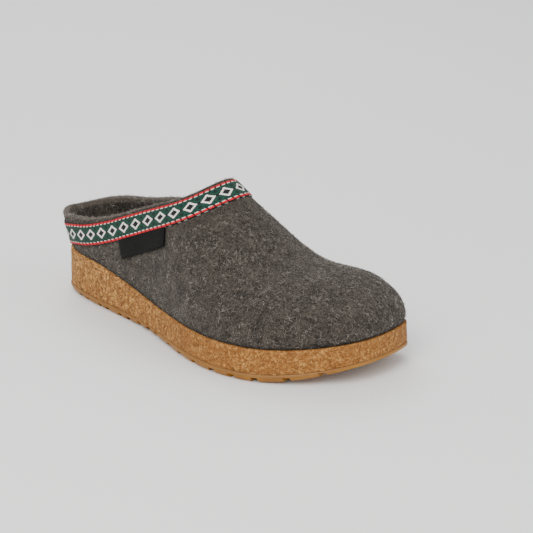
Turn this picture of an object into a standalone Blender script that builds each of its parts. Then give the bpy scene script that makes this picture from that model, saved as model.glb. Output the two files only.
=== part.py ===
import bpy
import bmesh
import numpy as np
from mathutils import Matrix

# Clog slipper, right shoe, as separate pieces. Toe +X, outer side -Y, floor at z = 0.
# The form is worked out in millimetres and written in metres.

for old in list(bpy.data.objects):
    bpy.data.objects.remove(old, do_unlink=True)

# named sizes, mm
LENGTH = 272.5
BALL_WIDTH = 109.0
GAP = 0.3

OUTSOLE = 5.4
OUTSOLE_PROUD = 0.9
TREAD_INSET = 1.4
TREAD_DEPTH = 3.0
WAIST_TUCK = 1.6
TOE_SPRING = 13.0
SPRING_FROM = 0.78
HEEL_BEVEL = 3.0

CORK_HEEL = 31.0
CORK_FORE = 21.6
CORK_SLOPE = (0.14, 0.46)
CORK_RIM = 6.2
BED_WALL = 2.8
BED_DROP = 2.5
BED_DISH = 3.2
ARCH_RISE = 3.0

INSOLE = 2.6
INSOLE_CLEAR = 0.8

FELT = 5.0
FELT_INSET = 0.5
FELT_EDGE = 1.2
CROWN = 120.0
HEEL_LEAN = 14.7
LEAN_HEIGHT = 30.0
LEAN_TO = 0.24
TOE_ROUND = 0.25
TOE_FULL = 2.15
HEEL_ROUND = 0.12

RIBBON_WIDTH = 15.0
RIBBON_BELOW_RIM = 1.6
RIBBON_BELOW_HEEL_RIM = 4.6
RIM_FALL = (0.03, 0.26)
RIBBON = 0.9

LABEL_LONG = 51.0
LABEL_TALL = 12.5
LABEL = 1.0
LABEL_FROM = 93.0
LABEL_STAND = 0.6

# steps round half the shoe, and rows up the upper
AROUND = 44
UP_ROWS = 9
BAND_STEPS = 3
BED_ACROSS = 5

# outline of the sole: share of length and share of ball width, outer side and inner side
# outer_at, outer, inner_at, inner
OUTLINE = [
    (0.006, 0.192, 0.022, 0.208),
    (0.12, 0.287, 0.13, 0.325),
    (0.27, 0.318, 0.28, 0.306),
    (0.414, 0.368, 0.42, 0.331),
    (0.558, 0.497, 0.573, 0.40),
    (0.703, 0.563, 0.729, 0.46),
    (0.836, 0.474, 0.899, 0.465),
    (0.967, 0.208, 0.971, 0.448),
]
HEEL_TIP = (-0.006, 0.0)
TOE_TIP = (1.007, 0.035)

# crown of the upper: share of length, share of CROWN
CROWN_LINE = [
    (0.0, 0.939),
    (0.3, 1.018),
    (0.46, 0.939),
    (0.6, 0.734),
    (0.74, 0.518),
    (0.88, 0.507),
]
# roundness of the cross section: share of length, power (2 is an ellipse)
ROUNDNESS = [(0.0, 2.05), (0.5, 1.7), (1.0, 2.5)]
# sideways shift of the crown to the inner side: share of length, mm
CROWN_SHIFT = [(0.0, 0.0), (0.12, 1.3), (0.3, 1.9), (0.85, 12.0)]

# collar on the unit form: share of length, degrees up on the outer side, degrees more inside
COLLAR = [
    (0.0037, 90.0, 0.0),
    (0.0112, 39.5, -3.5),
    (0.0422, 16.5, 4.7),
    (0.1577, 16.6, 1.2),
    (0.2594, 27.0, 1.7),
    (0.3767, 40.1, -9.8),
    (0.5006, 55.2, 4.6),
    (0.536, 90.0, 0.0),
]

# cross grooves of the tread, share of length
GROOVES = (
    0.055, 0.10, 0.145, 0.19, 0.235, 0.28, 0.325, 0.37, 0.415, 0.46,
    0.52, 0.58, 0.64, 0.70, 0.76, 0.82, 0.88, 0.94,
)
GROOVE = 4.2
GROOVE_WAVE = 2.2
GROOVE_STEPS = 10


def smooth(t):
    t = np.clip(t, 0.0, 1.0)
    return t * t * (3 - 2 * t)


def unit(v):
    return v / np.maximum(np.linalg.norm(v, axis=1), 1e-12)[:, None]


def curve(table, u):
    """Smooth curve through the rows (share, value) of a short table."""
    xs, ys = np.array([row[:2] for row in table], float).T
    m = np.gradient(ys, xs)
    u = np.clip(u, xs[0], xs[-1])
    j = np.clip(np.searchsorted(xs, u, side="right") - 1, 0, len(xs) - 2)
    h = xs[j + 1] - xs[j]
    t = (u - xs[j]) / h
    low = (2 * t**3 - 3 * t**2 + 1) * ys[j] + (t**3 - 2 * t**2 + t) * h * m[j]
    high = (3 * t**2 - 2 * t**3) * ys[j + 1] + (t**3 - t**2) * h * m[j + 1]
    return low + high


def spline_ring(points, count):
    """Closed cubic B-spline over the corner points."""
    p = np.asarray(points, float)
    t = np.arange(count) / count * len(p)
    i = np.floor(t).astype(int)
    u = (t - i)[:, None]
    weights = (
        (1 - u) ** 3 / 6,
        (3 * u**3 - 6 * u**2 + 4) / 6,
        (-3 * u**3 + 3 * u**2 + 3 * u + 1) / 6,
        u**3 / 6,
    )
    return sum(w * p[(i + k - 1) % len(p)] for k, w in enumerate(weights))


def outline_curve():
    """Dense plan outline from the heel tip, outer side first."""
    outer = [(a * LENGTH, -y * BALL_WIDTH) for a, y, _, _ in OUTLINE]
    inner = [(a * LENGTH, y * BALL_WIDTH) for _, _, a, y in OUTLINE]
    heel = (HEEL_TIP[0] * LENGTH, HEEL_TIP[1] * BALL_WIDTH)
    toe = (TOE_TIP[0] * LENGTH, TOE_TIP[1] * BALL_WIDTH)
    ring = spline_ring([heel] + outer + [toe] + inner[::-1], 1440)
    return np.roll(ring, -ring[:, 0].argmin(), axis=0)


PLAN = outline_curve()
TOE_AT = int(PLAN[:, 0].argmax())
HEEL_X = PLAN[0, 0]
TOE_X = PLAN[TOE_AT, 0]
LONG = TOE_X - HEEL_X
OUTER = PLAN[: TOE_AT + 1]
INNER = np.vstack([PLAN[TOE_AT:], PLAN[:1]])[::-1]


def share(x):
    return (x - HEEL_X) / LONG


def sides(x):
    """Outer and inner y of the outline at x."""
    yo = np.interp(x, np.maximum.accumulate(OUTER[:, 0]), OUTER[:, 1])
    yi = np.interp(x, np.maximum.accumulate(INNER[:, 0]), INNER[:, 1])
    return yo, yi


def spring(x):
    return TOE_SPRING * np.clip((share(x) - SPRING_FROM) / (1 - SPRING_FROM), 0, None) ** 2


def bottom(x):
    """Underside of the tread above the floor."""
    u = share(x)
    tuck = WAIST_TUCK * smooth((u - 0.30) / 0.10) * smooth((0.58 - u) / 0.10)
    bevel = HEEL_BEVEL * np.clip((0.10 - u) / 0.10, 0, 1) ** 2
    return spring(x) + tuck + bevel


def seam(x):
    """Line between outsole and cork."""
    return OUTSOLE + 0.75 * spring(x)


def rim(x):
    """Flat rim of the cork, where the felt stands."""
    a, b = CORK_SLOPE
    slope = smooth((share(x) - a) / (b - a))
    return CORK_HEEL + (CORK_FORE - CORK_HEEL) * slope + 0.5 * spring(x)


def crown(x):
    """Height of the upper's middle line above the rim."""
    u = share(x)
    toe = np.clip((1 - u) / TOE_ROUND, 0, 1)
    heel = np.clip(u / HEEL_ROUND, 0, 1)
    ends = (1 - (1 - toe) ** TOE_FULL) ** (1 / TOE_FULL) * np.sqrt(1 - (1 - heel) ** 2)
    return (curve(CROWN_LINE, u) * CROWN - rim(x)) * ends


def form(q):
    """Outside of the upper: points of the unit form (heel -1, toe +1) to the last's shape."""
    X, Y, Z = q.T
    x = HEEL_X + LONG * (1 + X) / 2
    u = share(x)
    r = np.sqrt(Y * Y + Z * Z) + 1e-12
    power = 2 / curve(ROUNDNESS, u)
    across = np.sign(Y) * np.abs(Y / r) ** power
    up = np.abs(Z / r) ** power
    yo, yi = sides(x)
    half = (yi - yo) / 2 - FELT_INSET
    shift = curve(CROWN_SHIFT, u) * smooth((1 - u) / 0.14)
    y = (yo + yi) / 2 + half * across + shift * up**2
    h = crown(x) * up
    lean = HEEL_LEAN * smooth(h / LEAN_HEIGHT) * np.clip(1 - u / LEAN_TO, 0, 1)
    inset = FELT_INSET * X * np.sqrt(np.clip(1 - up, 0, 1))
    return np.stack([x - lean - inset, y, rim(x) + GAP + h], axis=1)


def slerp(a, b, t):
    angle = np.arccos(np.clip((a * b).sum(1), -1, 1))[:, None]
    angle = np.maximum(angle, 1e-9)
    return (np.sin((1 - t) * angle) * a + np.sin(t * angle) * b) / np.sin(angle)


def frame_at(q):
    """Two steps on the unit form, their images on the shoe and the outward normal."""
    n = unit(q)
    a = np.cross(n, np.array([1.0, 0.0, 0.0]))
    flat = np.linalg.norm(a, axis=1) < 1e-6
    a[flat] = [0.0, 1.0, 0.0]
    a = unit(a)
    b = np.cross(n, a)
    h = 1e-3
    pa = (form(unit(n + h * a)) - form(unit(n - h * a))) / (2 * h)
    pb = (form(unit(n + h * b)) - form(unit(n - h * b))) / (2 * h)
    return n, a, b, pa, pb, unit(np.cross(pa, pb))


def along(half, shares):
    """Points of a half curve on the unit form at shares of its length on the shoe."""
    p = form(half)
    d = np.r_[0, np.cumsum(np.linalg.norm(np.diff(p, axis=0), axis=1))]
    t = shares * d[-1]
    points = np.stack([np.interp(t, d, half[:, k]) for k in range(3)], axis=1)
    return unit(points), d[-1]


def feather_half(side):
    t = np.linspace(0, np.pi, 721)
    return np.stack([-np.cos(t), side * np.sin(t), np.zeros_like(t)], axis=1)


def collar_halves():
    """Collar line from the back of the heel to the throat, outer and inner half."""
    def row(u, degrees, side):
        X = 2 * u - 1
        r = np.sqrt(1 - X * X)
        a = np.radians(degrees)
        return (X, side * r * np.cos(a), r * np.sin(a))

    outer = [row(u, d, -1) for u, d, _ in COLLAR]
    inner = [row(u, d + more, 1) for u, d, more in COLLAR[1:-1]]
    ring = unit(spline_ring(outer + inner[::-1], 60 * (2 * len(COLLAR) - 2)))
    throat = 60 * (len(COLLAR) - 1)
    return ring[: throat + 1], np.vstack([ring[throat:], ring[:1]])[::-1]


def spread(around):
    """Shares of a half, closer together at heel and toe."""
    t = np.arange(around + 1) / around
    return t - 0.4 * np.sin(2 * np.pi * t) / (2 * np.pi)


def rings(around):
    """Matching rings of the feather line and the collar: outer half out, inner half back."""
    u = spread(around)
    feather = []
    collar = []
    for side, half in zip((-1, 1), collar_halves()):
        low, low_length = along(feather_half(side), u)
        _, high_length = along(half, u)
        even = 0.6
        k = (low_length / high_length - even) / (1 - even)
        high, _ = along(half, (1 - even) * (1 - (1 - u) ** k) + even * u)
        low[:, 2] = 0.0
        feather.append(unit(low))
        collar.append(high)
    join = lambda pair: np.vstack([pair[0], pair[1][-2:0:-1]])
    return join(feather), join(collar)


def rim_drop(ring):
    """How far below the rim the ribbon lies: more round the heel."""
    share_along = (ring[:, 0] + 1) / 2
    k = smooth(np.clip((share_along - RIM_FALL[0]) / (RIM_FALL[1] - RIM_FALL[0]), 0, 1))
    return RIBBON_BELOW_HEEL_RIM + (RIBBON_BELOW_RIM - RIBBON_BELOW_HEEL_RIM) * k


def march(ring, distance, steps):
    """Rings at even distances down the surface, square to the starting ring."""
    q = ring.copy()
    out = [q.copy()]
    p = form(q)
    tangent = unit(np.roll(p, -1, axis=0) - np.roll(p, 1, axis=0))
    down = None
    for _ in range(steps):
        n, a, b, pa, pb, normal = frame_at(q)
        if down is None:
            down = unit(np.cross(normal, tangent))
            down *= np.where(down[:, 2] > 0, -1, 1)[:, None]
        down = unit(down - (down * normal).sum(1)[:, None] * normal)
        g11, g12, g22 = (pa * pa).sum(1), (pa * pb).sum(1), (pb * pb).sum(1)
        r1 = (down * pa).sum(1) * distance / steps
        r2 = (down * pb).sum(1) * distance / steps
        det = g11 * g22 - g12**2
        q = unit(n + ((r1 * g22 - r2 * g12) / det)[:, None] * a
                 + ((g11 * r2 - g12 * r1) / det)[:, None] * b)
        out.append(q.copy())
    return out


def band_rings(around):
    """Feather ring, then the rings from the rim down to the ribbon's lower edge."""
    feather, collar = rings(around)
    start = march(collar, rim_drop(collar), 1)[-1]
    return feather, [collar] + march(start, RIBBON_WIDTH, BAND_STEPS)


def normals(q):
    """Outward normals, level on the feather line."""
    n = frame_at(q)[5]
    p = form(q)
    tangent = unit(np.roll(p, -1, axis=0) - np.roll(p, 1, axis=0))
    level = unit(np.cross(tangent, np.array([0.0, 0.0, 1.0])))
    low = (np.abs(q[:, 2]) < 1e-6)[:, None]
    n = np.where(low, level, n)
    middle = np.array([[LENGTH / 2, 0.0, 40.0]])
    return n * np.where(((p - middle) * n).sum(1) < 0, -1, 1)[:, None]


def plan_ring(inset, around):
    """Outline of the sole moved in by inset, matched side to side."""
    rows = []
    for half in (OUTER, INNER):
        d = np.r_[0, np.cumsum(np.linalg.norm(np.diff(half, axis=0), axis=1))]
        t = spread(around) * d[-1]
        rows.append(np.stack([np.interp(t, d, half[:, k]) for k in (0, 1)], axis=1))
    ring = np.vstack([rows[0], rows[1][-2:0:-1]])
    tangent = unit(np.roll(ring, -1, axis=0) - np.roll(ring, 1, axis=0))
    inward = np.stack([-tangent[:, 1], tangent[:, 0]], axis=1)
    return ring + inward * inset


def at_height(ring, z):
    return np.column_stack([ring, z])


def loft(rows, closed):
    """Faces between rows of equal rings, back to the first row when closed."""
    n = len(rows[0])
    points = np.vstack(rows)
    faces = []
    last = len(rows) if closed else len(rows) - 1
    for r in range(last):
        a, b = r * n, ((r + 1) % len(rows)) * n
        for i in range(n):
            j = (i + 1) % n
            faces.append((a + i, a + j, b + j))
            faces.append((a + i, b + j, b + i))
    return points, faces


def plug(points, faces, start, n, height, across):
    """Close a ring of n points with strips across, each point's height from its place."""
    half = n // 2
    grid = {}
    points = list(map(tuple, points))
    for i in range(half + 1):
        a = start + i
        b = start + (n - i) % n
        grid[i, 0] = a
        grid[i, across] = b
        if a == b:
            for k in range(across + 1):
                grid[i, k] = a
            continue
        pa, pb = np.array(points[a]), np.array(points[b])
        for k in range(1, across):
            s = k / across
            x, y = ((1 - s) * pa + s * pb)[:2]
            base = (1 - s) * pa[2] + s * pb[2]
            points.append((x, y, height(x, 2 * s - 1, base)))
            grid[i, k] = len(points) - 1
    for i in range(half):
        for k in range(across):
            corners = (grid[i, k], grid[i, k + 1], grid[i + 1, k + 1], grid[i + 1, k])
            face = tuple(dict.fromkeys(corners))
            if len(face) > 2:
                faces.append(face)
    return np.array(points), faces


def material(name, colour, roughness, metallic=0.0):
    made = bpy.data.materials.new(name)
    made.use_nodes = True
    shader = made.node_tree.nodes["Principled BSDF"]
    shader.inputs["Base Color"].default_value = (*colour, 1.0)
    shader.inputs["Roughness"].default_value = roughness
    shader.inputs["Metallic"].default_value = metallic
    made.diffuse_color = (*colour, 1.0)
    return made


def solid(name, points, faces, look):
    mesh = bpy.data.meshes.new(name)
    mesh.from_pydata((np.asarray(points) / 1000).tolist(), [], faces)
    work = bmesh.new()
    work.from_mesh(mesh)
    bmesh.ops.recalc_face_normals(work, faces=work.faces)
    work.to_mesh(mesh)
    work.free()
    made = bpy.data.objects.new(name, mesh)
    bpy.context.scene.collection.objects.link(made)
    mesh.materials.append(look)
    return made


RUBBER = material("amber_rubber", (0.47, 0.24, 0.06), 0.45)
CORK = material("cork", (0.55, 0.33, 0.15), 0.85)
INSOLE_FELT = material("insole_felt", (0.30, 0.27, 0.24), 0.95)
GREY_FELT = material("grey_felt", (0.11, 0.10, 0.09), 0.95)
WOVEN = material("ribbon_weave", (0.02, 0.20, 0.13), 0.7)
BLACK_WOVEN = material("label_weave", (0.012, 0.012, 0.014), 0.6)


def make_upper():
    feather, band = band_rings(AROUND)
    climb = [smooth(0.5 * k / UP_ROWS) * 2 for k in range(UP_ROWS)]
    ladder = [slerp(feather, band[-1], t) for t in climb] + band[::-1]
    outer = [form(q) for q in ladder]
    outward = [normals(q) for q in ladder]
    inner = [p - n * FELT for p, n in zip(outer, outward)]
    inner[0][:, 2] = rim(inner[0][:, 0]) + GAP
    for r in range(1, UP_ROWS):
        inner[r][:, 2] = np.maximum(inner[r][:, 2], rim(inner[r][:, 0]) + GAP + 0.6 * r)
    up = unit(outer[-1] - outer[-2])
    middle = (outer[-1] + inner[-1]) / 2
    lip = []
    for degrees in (45, 90, 135):
        a = np.radians(degrees)
        lip.append(middle + outward[-1] * (FELT / 2 * np.cos(a)) + up * (FELT_EDGE * np.sin(a)))
    lining = [inner[0], inner[1]] + inner[3:UP_ROWS:2] + inner[UP_ROWS::2] + [inner[-1]]
    points, faces = loft(outer + lip + lining[::-1], True)
    return solid("upper", points, faces, GREY_FELT)


def make_ribbon():
    _, band = band_rings(AROUND)
    base = [(form(q), normals(q)) for q in band[:0:-1]]
    near = [p + n * GAP for p, n in base]
    far = [p + n * (GAP + RIBBON) for p, n in base]
    points, faces = loft(near + far[::-1], True)
    return solid("collar_ribbon", points, faces, WOVEN)


def make_label():
    """Small tag under the ribbon's lower edge on the outer side."""
    fine = 4 * AROUND
    edge = band_rings(fine)[1][-1]
    p = form(edge)
    d = np.r_[0, np.cumsum(np.linalg.norm(np.diff(p[: fine + 1], axis=0), axis=1))]
    columns, rows = 8, 4
    wanted = LABEL_FROM + LABEL_LONG * np.arange(columns + 1) / columns
    top = unit(np.stack([np.interp(wanted, d, edge[: fine + 1, k]) for k in range(3)], axis=1))
    ring = np.vstack([top, top[::-1]])
    levels = march(march(ring, GAP, 1)[-1], LABEL_TALL, rows)
    sheet = []
    for k, q in enumerate(levels):
        part = q[: columns + 1]
        n = frame_at(part)[5]
        n *= np.where(n[:, 1] > 0, -1, 1)[:, None]
        stand = LABEL_STAND * (k / rows) * np.linspace(0.4, 1.6, columns + 1)
        lower = form(part) + n * (GAP + stand[:, None])
        sheet.append((lower, lower + n * LABEL))
    border = []
    for k in range(2):
        border.append([row[k] for row in sheet])
    points = np.vstack(border[0] + border[1])
    w = columns + 1
    size = w * len(sheet)
    faces = []
    for r in range(len(sheet) - 1):
        for c in range(columns):
            a = r * w + c
            faces.append((a, a + 1, a + w + 1, a + w))
            faces.append((size + a, size + a + 1, size + a + w + 1, size + a + w))
    edge_loop = [c for c in range(w)]
    edge_loop += [r * w + columns for r in range(1, len(sheet))]
    edge_loop += [(len(sheet) - 1) * w + c for c in range(columns - 1, -1, -1)]
    edge_loop += [r * w for r in range(len(sheet) - 2, 0, -1)]
    for a, b in zip(edge_loop, edge_loop[1:] + edge_loop[:1]):
        faces.append((a, b, size + b, size + a))
    return solid("label", points, faces, BLACK_WOVEN)


def bed(x, v, base):
    """Footbed below its wall: dished, with the arch raised on the inner side."""
    u = share(x)
    arch = ARCH_RISE * np.exp(-(((u - 0.40) / 0.13) ** 2)) * smooth((v + 0.1) / 0.9)
    return base - BED_DISH * (1 - v * v) + arch * (1 - v * v)


def make_cork():
    def wall(inset, z):
        ring = plan_ring(inset, AROUND)
        return at_height(ring, z(ring[:, 0]))

    rows = [
        wall(CORK_RIM + BED_WALL + 6, lambda x: seam(x) + GAP),
        wall(0.5, lambda x: seam(x) + GAP),
        wall(-0.3, lambda x: seam(x) + GAP + 0.8),
        wall(-0.2, lambda x: (seam(x) + rim(x)) / 2),
        wall(0.0, lambda x: rim(x) - 0.8),
        wall(0.6, rim),
        wall(CORK_RIM, rim),
        wall(CORK_RIM + BED_WALL, lambda x: rim(x) - BED_DROP),
    ]
    points, faces = loft(rows, False)
    n = 2 * AROUND
    points, faces = plug(points, faces, 0, n, lambda x, v, z: seam(x) + GAP, BED_ACROSS)
    points, faces = plug(points, faces, n * (len(rows) - 1), n, bed, BED_ACROSS)
    return solid("midsole", points, faces, CORK)


def make_insole():
    clear = CORK_RIM + INSOLE_CLEAR
    low = plan_ring(clear + BED_WALL - 0.3, AROUND)
    high = plan_ring(clear, AROUND)
    lift = GAP + INSOLE
    rows = [
        at_height(low, rim(low[:, 0]) - BED_DROP + GAP),
        at_height(high, rim(high[:, 0]) - 0.1),
        at_height(plan_ring(clear + BED_WALL, AROUND), rim(low[:, 0]) - BED_DROP + lift),
    ]
    points, faces = loft(rows, False)
    n = 2 * AROUND
    points, faces = plug(points, faces, 0, n, bed, BED_ACROSS)
    points, faces = plug(points, faces, 2 * n, n, bed, BED_ACROSS)
    return solid("insole", points, faces, INSOLE_FELT)


def groove_bars():
    """One closed bar a groove, wavy across the tread, following the toe spring."""
    points = []
    faces = []
    for k, at in enumerate(GROOVES):
        xc = HEEL_X + at * LONG
        first = len(points)
        for i in range(GROOVE_STEPS + 1):
            s = i / GROOVE_STEPS
            y = -80.0 + 160.0 * s
            x = xc + GROOVE_WAVE * (-1) ** (i + k)
            top = float(bottom(np.array(xc))) + TREAD_DEPTH
            for dx, z in ((-GROOVE / 2, -5.0), (GROOVE / 2, -5.0), (GROOVE / 2, top), (-GROOVE / 2, top)):
                points.append((x + dx, y, z))
        for i in range(GROOVE_STEPS):
            a = first + 4 * i
            for c in range(4):
                d = (c + 1) % 4
                faces.append((a + c, a + d, a + 4 + d, a + 4 + c))
        faces.append((first, first + 1, first + 2, first + 3))
        end = first + 4 * GROOVE_STEPS
        faces.append((end, end + 1, end + 2, end + 3))
    return points, faces


def make_outsole():
    def wall(inset, z):
        ring = plan_ring(inset, AROUND)
        return at_height(ring, z(ring[:, 0]))

    rows = [
        wall(TREAD_INSET + 8, bottom),
        wall(TREAD_INSET, bottom),
        wall(-OUTSOLE_PROUD * 0.6, lambda x: bottom(x) + 0.42 * (seam(x) - bottom(x))),
        wall(-OUTSOLE_PROUD, lambda x: seam(x) - 1.4),
        wall(-0.3, seam),
        wall(8, seam),
    ]
    points, faces = loft(rows, False)
    n = 2 * AROUND
    points, faces = plug(points, faces, 0, n, lambda x, v, z: bottom(x), 4)
    points, faces = plug(points, faces, n * (len(rows) - 1), n, lambda x, v, z: seam(x), 4)
    body = solid("outsole", points, faces, RUBBER)
    cutter = solid("groove_bars", *groove_bars(), RUBBER)
    tools = bpy.data.collections.new("tools")
    bpy.context.scene.collection.children.link(tools)
    bpy.context.scene.collection.objects.unlink(cutter)
    tools.objects.link(cutter)
    cutter.hide_render = True
    cutter.display_type = "WIRE"
    cut = body.modifiers.new("grooves", "BOOLEAN")
    cut.operation = "DIFFERENCE"
    cut.solver = "EXACT"
    cut.object = cutter
    return body


def centre(objects):
    """Set the middle of the whole shoe's box over the origin, tools with it."""
    corners = [v.co[:2] for o in objects if not o.hide_render for v in o.data.vertices]
    corners = np.array(corners)
    middle = (corners.min(axis=0) + corners.max(axis=0)) / 2
    for made in objects:
        made.data.transform(Matrix.Translation((-middle[0], -middle[1], 0.0)))


make_outsole()
make_cork()
make_insole()
make_upper()
make_ribbon()
make_label()
centre(list(bpy.data.objects))
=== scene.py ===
# %% [markdown]
# # A felt clog slipper
# The real slipper is a boiled-wool felt shell glued on a cork footbed, with an amber rubber
# tread under it and a woven ribbon sewn round the collar. The CAD model fixes where each of
# these is. Here each one is built again with finer faces from the same sizes, and gets its
# finish. Lengths are in millimetres until a mesh is made, because a shoemaker thinks in them.

import bpy
import numpy as np
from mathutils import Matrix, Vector


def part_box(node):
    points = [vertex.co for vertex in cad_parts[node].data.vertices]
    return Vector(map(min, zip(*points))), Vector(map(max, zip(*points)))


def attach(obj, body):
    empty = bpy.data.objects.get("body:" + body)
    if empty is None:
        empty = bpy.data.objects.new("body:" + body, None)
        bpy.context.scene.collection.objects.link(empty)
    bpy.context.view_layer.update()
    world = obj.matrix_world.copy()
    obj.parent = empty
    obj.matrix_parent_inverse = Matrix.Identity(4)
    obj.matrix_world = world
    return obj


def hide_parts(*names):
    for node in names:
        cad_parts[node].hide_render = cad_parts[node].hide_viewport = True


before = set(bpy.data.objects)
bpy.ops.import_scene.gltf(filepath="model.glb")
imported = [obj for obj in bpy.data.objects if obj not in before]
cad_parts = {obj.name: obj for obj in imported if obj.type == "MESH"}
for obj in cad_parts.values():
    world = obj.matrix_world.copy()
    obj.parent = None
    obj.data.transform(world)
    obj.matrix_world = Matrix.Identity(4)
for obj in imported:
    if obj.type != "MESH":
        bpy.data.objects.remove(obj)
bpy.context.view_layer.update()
scene = bpy.context.scene

# %% [markdown]
# ## Camera and light
# The camera stands where the photograph was taken from: in front of the outer side, about
# 19 degrees above the floor, over a metre away through a long lens. The photo's light is a
# studio tent, so big soft panels and a bright world do better than a lamp with hard shadows.

# %% Camera
SENSOR = 36.0
CAMERA_TURN = np.radians(44.81)
CAMERA_RISE = np.radians(19.20)
CAMERA_AWAY = 1.227
LENS = 119.0
AIM = Vector((-0.01886, 0.07288, 0.0191))


def camera_back():
    """Unit vector from the aim point to the camera."""
    flat = np.cos(CAMERA_RISE)
    return Vector((np.sin(CAMERA_TURN) * flat, -np.cos(CAMERA_TURN) * flat, np.sin(CAMERA_RISE)))


camera = bpy.data.objects.new("camera", bpy.data.cameras.new("camera"))
scene.collection.objects.link(camera)
camera.data.sensor_width = SENSOR
camera.data.lens = LENS
camera.location = AIM + camera_back() * CAMERA_AWAY
camera.rotation_mode = "QUATERNION"
camera.rotation_quaternion = (-camera_back()).to_track_quat("-Z", "Y")
camera.data.clip_start = 0.01
camera.data.clip_end = 50.0
scene.camera = camera
print("camera at", [round(v, 3) for v in camera.location])

# %% Light
PANELS = (
    # name, place, aim, side in metres, watts, colour
    ("key_panel", (0.55, -1.25, 1.35), (0.0, 0.0, 0.03), 1.1, 34.0, (1.0, 0.985, 0.96)),
    ("fill_panel", (1.6, 0.45, 0.75), (0.0, 0.0, 0.05), 1.2, 10.0, (0.96, 0.98, 1.0)),
    ("back_panel", (-1.1, 0.7, 1.3), (0.0, 0.0, 0.05), 1.0, 12.0, (1.0, 1.0, 1.0)),
)


def add_panel(name, place, aim, side, watts, colour):
    light = bpy.data.lights.new(name, "AREA")
    light.size = side
    light.energy = watts
    light.color = colour
    lamp = bpy.data.objects.new(name, light)
    scene.collection.objects.link(lamp)
    lamp.location = place
    lamp.rotation_mode = "QUATERNION"
    lamp.rotation_quaternion = (Vector(aim) - Vector(place)).to_track_quat("-Z", "Y")
    return lamp


for row in PANELS:
    add_panel(*row)
world = bpy.data.worlds.new("studio")
world.use_nodes = True
world.node_tree.nodes["Background"].inputs["Color"].default_value = (1.0, 1.0, 1.0, 1.0)
world.node_tree.nodes["Background"].inputs["Strength"].default_value = 0.85
scene.world = world
print("panels:", len(PANELS))

# %% [markdown]
# ## Short ways to write nodes and meshes
# A procedural material is a chain of small nodes. Writing each link by hand hides the idea,
# so two helpers carry the links: one adds a node and feeds it, the other turns points and
# faces into a mesh object at the origin, where the export expects every piece.

# %% Helpers for materials


def feed(tree, socket, value):
    """Link a socket to another node's output, or give it a plain value."""
    if isinstance(value, bpy.types.NodeSocket):
        tree.links.new(value, socket)
    else:
        socket.default_value = value


def add_node(tree, kind, out=0, settings=None, **inputs):
    """Add a node, feed its inputs (i0, i1 and so on by number) and return one output."""
    made = tree.nodes.new(kind)
    for key, value in (settings or {}).items():
        setattr(made, key, value)
    for key, value in inputs.items():
        numbered = key[0] == "i" and key[1:].isdigit()
        feed(tree, made.inputs[int(key[1:]) if numbered else key.replace("_", " ")], value)
    return made.outputs[out]


class Recipe:
    """A material under construction: each call adds one node and returns its output."""

    def __init__(self, name, roughness, sheen=0.0):
        self.material = bpy.data.materials.new(name)
        self.material.use_nodes = True
        self.tree = self.material.node_tree
        self.shader = self.tree.nodes["Principled BSDF"]
        self.shader.inputs["Roughness"].default_value = roughness
        self.shader.inputs["Sheen Weight"].default_value = sheen

    def feed(self, socket, value):
        feed(self.tree, socket, value)

    def node(self, kind, out=0, settings=None, **inputs):
        return add_node(self.tree, kind, out, settings, **inputs)

    def place(self):
        return self.node("ShaderNodeTexCoord", "Object")

    def attribute(self, name, out="Fac"):
        return self.node("ShaderNodeAttribute", out, {"attribute_name": name})

    def math(self, operation, a, b=0.0, clamp=False):
        return self.node("ShaderNodeMath", 0, {"operation": operation, "use_clamp": clamp}, i0=a, i1=b)

    def noise(self, scale, detail=4.0, rough=0.6, at=None, warp=0.0):
        return self.node("ShaderNodeTexNoise", 0, None, Vector=at or self.place(), Scale=scale,
                         Detail=detail, Roughness=rough, Distortion=warp)

    def ramp(self, value, *stops, ease="LINEAR"):
        made = self.tree.nodes.new("ShaderNodeValToRGB")
        made.color_ramp.interpolation = ease
        while len(made.color_ramp.elements) < len(stops):
            made.color_ramp.elements.new(0.5)
        for element, (at, colour) in zip(made.color_ramp.elements, stops):
            element.position = at
            element.color = (*colour, 1.0) if isinstance(colour, tuple) else (colour,) * 3 + (1.0,)
        self.feed(made.inputs[0], value)
        return made.outputs[0]

    def blend(self, share, a, b, how="MIX"):
        made = self.tree.nodes.new("ShaderNodeMix")
        made.data_type = "RGBA"
        made.blend_type = how
        for socket, value in zip((made.inputs[0], made.inputs[6], made.inputs[7]), (share, a, b)):
            self.feed(socket, (*value, 1.0) if isinstance(value, tuple) and len(value) == 3 else value)
        return made.outputs[2]

    def bump(self, height, strength, depth, under=None):
        made = self.tree.nodes.new("ShaderNodeBump")
        made.inputs["Strength"].default_value = strength
        made.inputs["Distance"].default_value = depth
        self.feed(made.inputs["Height"], height)
        if under is not None:
            self.feed(made.inputs["Normal"], under)
        return made.outputs[0]

    def done(self, colour, normal=None, roughness=None):
        self.feed(self.shader.inputs["Base Color"], colour)
        if normal is not None:
            self.feed(self.shader.inputs["Normal"], normal)
        if roughness is not None:
            self.feed(self.shader.inputs["Roughness"], roughness)
        return self.material


# %% Helpers for meshes
MM = 0.001


def piece(name, points, faces, look, smooth=True):
    """A mesh object from points in millimetres."""
    mesh = bpy.data.meshes.new(name)
    mesh.from_pydata((np.asarray(points, float) * MM).tolist(), [], [tuple(f) for f in faces])
    mesh.materials.append(look)
    if smooth:
        mesh.polygons.foreach_set("use_smooth", [True] * len(mesh.polygons))
    made = bpy.data.objects.new(name, mesh)
    scene.collection.objects.link(made)
    return made


def settle(made, slot_name, *nodes):
    """Parent a finished piece to the shoe's one body and hide the CAD nodes it stands in for; slot_name is
    not used.
    """
    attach(made, "root")
    if nodes:
        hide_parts(*nodes)
    faces = len(made.data.polygons)
    print(f"{made.name}: {len(made.data.vertices)} points, {faces} faces")
    return made


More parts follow.
